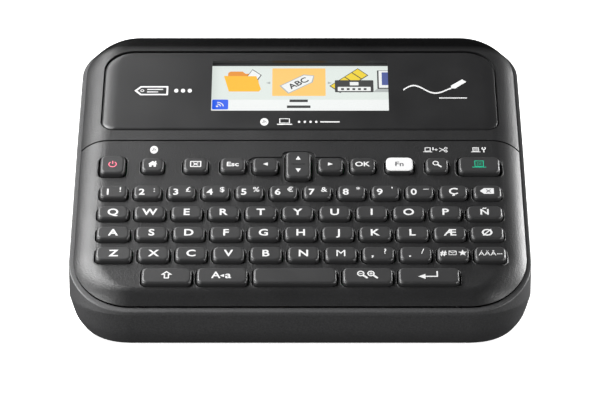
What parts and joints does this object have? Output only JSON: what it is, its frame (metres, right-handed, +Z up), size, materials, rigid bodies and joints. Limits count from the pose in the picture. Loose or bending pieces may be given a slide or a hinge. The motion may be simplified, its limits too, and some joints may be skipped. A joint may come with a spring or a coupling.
{
  "type": "label maker",
  "caption": "Desktop label maker: wedge-shaped case with a full keyboard, colour display, rear cassette bay and a side label exit.",
  "frame": {"origin": "on the surface under the rubber feet, at the middle of the whole object's footprint", "axes": "+X to the typist's right, +Y to the back, +Z up"},
  "size_m": [0.202, 0.1852, 0.0941],
  "materials": {
    "case": "fine moulded texture, charcoal",
    "panel": "smooth satin charcoal",
    "keys": "fine matte texture, dark grey, printed white legends",
    "white_key": "matte white with a grey legend",
    "lens": "clear flat window",
    "screen": "backlit colour display",
    "rubber": "matt black rubber",
    "steel": "plated sheet steel",
    "heat_sink": "bare aluminium",
    "board": "green solder mask",
    "cell": null,
    "nylon": "natural nylon",
    "cassette": "dark smooth plastic",
    "tape": "wound label tape"
  },
  "bodies": {
    "case": {"lower_case": "case", "keyboard_cover": "case", "display_housing": "case", "display_panel": "panel", "display_window": "lens", "lcd_module": "screen", "main_board": "board", "keypad_board": "board", "usb_socket": "steel", "power_socket": "steel", "battery_contacts": "steel", "battery_cell_1": "cell", "battery_cell_2": "cell", "battery_cell_3": "cell", "battery_cell_4": "cell", "battery_cell_5": "cell", "battery_cell_6": "cell", "mechanism_frame": "steel", "drive_motor": "steel", "print_head": "heat_sink", "cassette_case": "cassette", "rubber_foot_1": "rubber", "rubber_foot_2": "rubber", "rubber_foot_3": "rubber", "rubber_foot_4": "rubber", "case_screw_1": "steel", "case_screw_2": "steel", "case_screw_3": "steel", "case_screw_4": "steel"},
    "rear_cover": {"rear_cover": "case"},
    "battery_door": {"battery_door": "case"},
    "cutter": {"cutter_blade": "steel"},
    "platen": {"platen_gear": "nylon", "platen_roller": "rubber"},
    "idler": {"idler_gear": "nylon"},
    "pinion": {"motor_pinion": "nylon"},
    "tape_spool": {"tape_spool": "tape"},
    "ribbon_spool": {"ribbon_spool": "tape"},
    "ribbon_takeup": {"ribbon_takeup_spool": "tape"},
    "key_power": {"key_power": "keys"},
    "key_home": {"key_home": "keys"},
    "key_cancel": {"key_cancel": "keys"},
    "key_escape": {"key_escape": "keys"},
    "key_left": {"key_left": "keys"},
    "key_right": {"key_right": "keys"},
    "key_ok": {"key_ok": "keys"},
    "key_function": {"key_function": "white_key"},
    "key_search": {"key_search": "keys"},
    "key_print": {"key_print": "keys"},
    "key_shift": {"key_shift": "keys"},
    "key_caps": {"key_caps": "keys"},
    "key_space": {"key_space": "keys"},
    "key_zoom": {"key_zoom": "keys"},
    "key_enter": {"key_enter": "keys"},
    "key_row_numbers": {"key_row_numbers": "keys"},
    "key_row_upper": {"key_row_upper": "keys"},
    "key_row_middle": {"key_row_middle": "keys"},
    "key_row_lower": {"key_row_lower": "keys"},
    "key_up_down": {"key_up_down": "keys"}
  },
  "joints": [
    {"name": "rear_cover_hinge", "type": "hinge", "parent": "case", "child": "rear_cover", "pos_m": [0, 0.0892, 0.013], "axis": [-1, 0, 0], "range_deg": [0, 90]},
    {"name": "battery_door_slide", "type": "slide", "parent": "case", "child": "battery_door", "axis": [0, 1, 0], "range_m": [0, 0.006]},
    {"name": "cutter_stroke", "type": "slide", "parent": "case", "child": "cutter", "axis": [0, 0, -1], "range_m": [0, 0.007]},
    {"name": "platen_turn", "type": "hinge", "parent": "case", "child": "platen", "pos_m": [-0.077, 0.052, 0.053], "axis": [0, 1, 0], "continuous": true},
    {"name": "idler_turn", "type": "hinge", "parent": "case", "child": "idler", "pos_m": [-0.077, 0.052, 0.035], "axis": [0, 1, 0], "continuous": true},
    {"name": "pinion_turn", "type": "hinge", "parent": "case", "child": "pinion", "pos_m": [-0.08495, 0.052, 0.02228], "axis": [0, 1, 0], "continuous": true},
    {"name": "tape_spool_turn", "type": "hinge", "parent": "case", "child": "tape_spool", "pos_m": [-0.0125, 0.052, 0.043], "axis": [0, 1, 0], "continuous": true},
    {"name": "ribbon_spool_turn", "type": "hinge", "parent": "case", "child": "ribbon_spool", "pos_m": [-0.052, 0.052, 0.059], "axis": [0, 1, 0], "continuous": true},
    {"name": "ribbon_takeup_turn", "type": "hinge", "parent": "case", "child": "ribbon_takeup", "pos_m": [-0.052, 0.052, 0.027], "axis": [0, 1, 0], "continuous": true},
    {"name": "key_power_press", "type": "slide", "parent": "case", "child": "key_power", "axis": [0, 0.4226, -0.9063], "range_m": [0, 0.0015], "stiffness_N_per_m": 300, "springref_m": -0.001},
    {"name": "key_home_press", "type": "slide", "parent": "case", "child": "key_home", "axis": [0, 0.4226, -0.9063], "range_m": [0, 0.0015], "stiffness_N_per_m": 300, "springref_m": -0.001},
    {"name": "key_cancel_press", "type": "slide", "parent": "case", "child": "key_cancel", "axis": [0, 0.4226, -0.9063], "range_m": [0, 0.0015], "stiffness_N_per_m": 300, "springref_m": -0.001},
    {"name": "key_escape_press", "type": "slide", "parent": "case", "child": "key_escape", "axis": [0, 0.4226, -0.9063], "range_m": [0, 0.0015], "stiffness_N_per_m": 300, "springref_m": -0.001},
    {"name": "key_left_press", "type": "slide", "parent": "case", "child": "key_left", "axis": [0, 0.4226, -0.9063], "range_m": [0, 0.0015], "stiffness_N_per_m": 300, "springref_m": -0.001},
    {"name": "key_right_press", "type": "slide", "parent": "case", "child": "key_right", "axis": [0, 0.4226, -0.9063], "range_m": [0, 0.0015], "stiffness_N_per_m": 300, "springref_m": -0.001},
    {"name": "key_ok_press", "type": "slide", "parent": "case", "child": "key_ok", "axis": [0, 0.4226, -0.9063], "range_m": [0, 0.0015], "stiffness_N_per_m": 300, "springref_m": -0.001},
    {"name": "key_function_press", "type": "slide", "parent": "case", "child": "key_function", "axis": [0, 0.4226, -0.9063], "range_m": [0, 0.0015], "stiffness_N_per_m": 300, "springref_m": -0.001},
    {"name": "key_search_press", "type": "slide", "parent": "case", "child": "key_search", "axis": [0, 0.4226, -0.9063], "range_m": [0, 0.0015], "stiffness_N_per_m": 300, "springref_m": -0.001},
    {"name": "key_print_press", "type": "slide", "parent": "case", "child": "key_print", "axis": [0, 0.4226, -0.9063], "range_m": [0, 0.0015], "stiffness_N_per_m": 300, "springref_m": -0.001},
    {"name": "key_shift_press", "type": "slide", "parent": "case", "child": "key_shift", "axis": [0, 0.4226, -0.9063], "range_m": [0, 0.0015], "stiffness_N_per_m": 300, "springref_m": -0.001},
    {"name": "key_caps_press", "type": "slide", "parent": "case", "child": "key_caps", "axis": [0, 0.4226, -0.9063], "range_m": [0, 0.0015], "stiffness_N_per_m": 300, "springref_m": -0.001},
    {"name": "key_space_press", "type": "slide", "parent": "case", "child": "key_space", "axis": [0, 0.4226, -0.9063], "range_m": [0, 0.0015], "stiffness_N_per_m": 300, "springref_m": -0.001},
    {"name": "key_zoom_press", "type": "slide", "parent": "case", "child": "key_zoom", "axis": [0, 0.4226, -0.9063], "range_m": [0, 0.0015], "stiffness_N_per_m": 300, "springref_m": -0.001},
    {"name": "key_enter_press", "type": "slide", "parent": "case", "child": "key_enter", "axis": [0, 0.4226, -0.9063], "range_m": [0, 0.0015], "stiffness_N_per_m": 300, "springref_m": -0.001},
    {"name": "key_row_numbers_press", "type": "slide", "parent": "case", "child": "key_row_numbers", "axis": [0, 0.4226, -0.9063], "range_m": [0, 0.0015], "stiffness_N_per_m": 900, "springref_m": -0.001},
    {"name": "key_row_upper_press", "type": "slide", "parent": "case", "child": "key_row_upper", "axis": [0, 0.4226, -0.9063], "range_m": [0, 0.0015], "stiffness_N_per_m": 900, "springref_m": -0.001},
    {"name": "key_row_middle_press", "type": "slide", "parent": "case", "child": "key_row_middle", "axis": [0, 0.4226, -0.9063], "range_m": [0, 0.0015], "stiffness_N_per_m": 900, "springref_m": -0.001},
    {"name": "key_row_lower_press", "type": "slide", "parent": "case", "child": "key_row_lower", "axis": [0, 0.4226, -0.9063], "range_m": [0, 0.0015], "stiffness_N_per_m": 900, "springref_m": -0.001},
    {"name": "key_up_down_rock", "type": "hinge", "parent": "case", "child": "key_up_down", "pos_m": [-0.0008, -0.01856, 0.05722], "axis": [1, 0, 0], "range_deg": [-4, 4], "stiffness_Nm_per_rad": 0.05}
  ],
  "couplings": [
    {"joint": "idler_turn", "follows": "platen_turn", "ratio": -0.8},
    {"joint": "pinion_turn", "follows": "platen_turn", "ratio": 1.6},
    {"joint": "tape_spool_turn", "follows": "platen_turn", "ratio": -0.18667},
    {"joint": "ribbon_spool_turn", "follows": "platen_turn", "ratio": -0.4},
    {"joint": "ribbon_takeup_turn", "follows": "platen_turn", "ratio": 0.525}
  ]
}
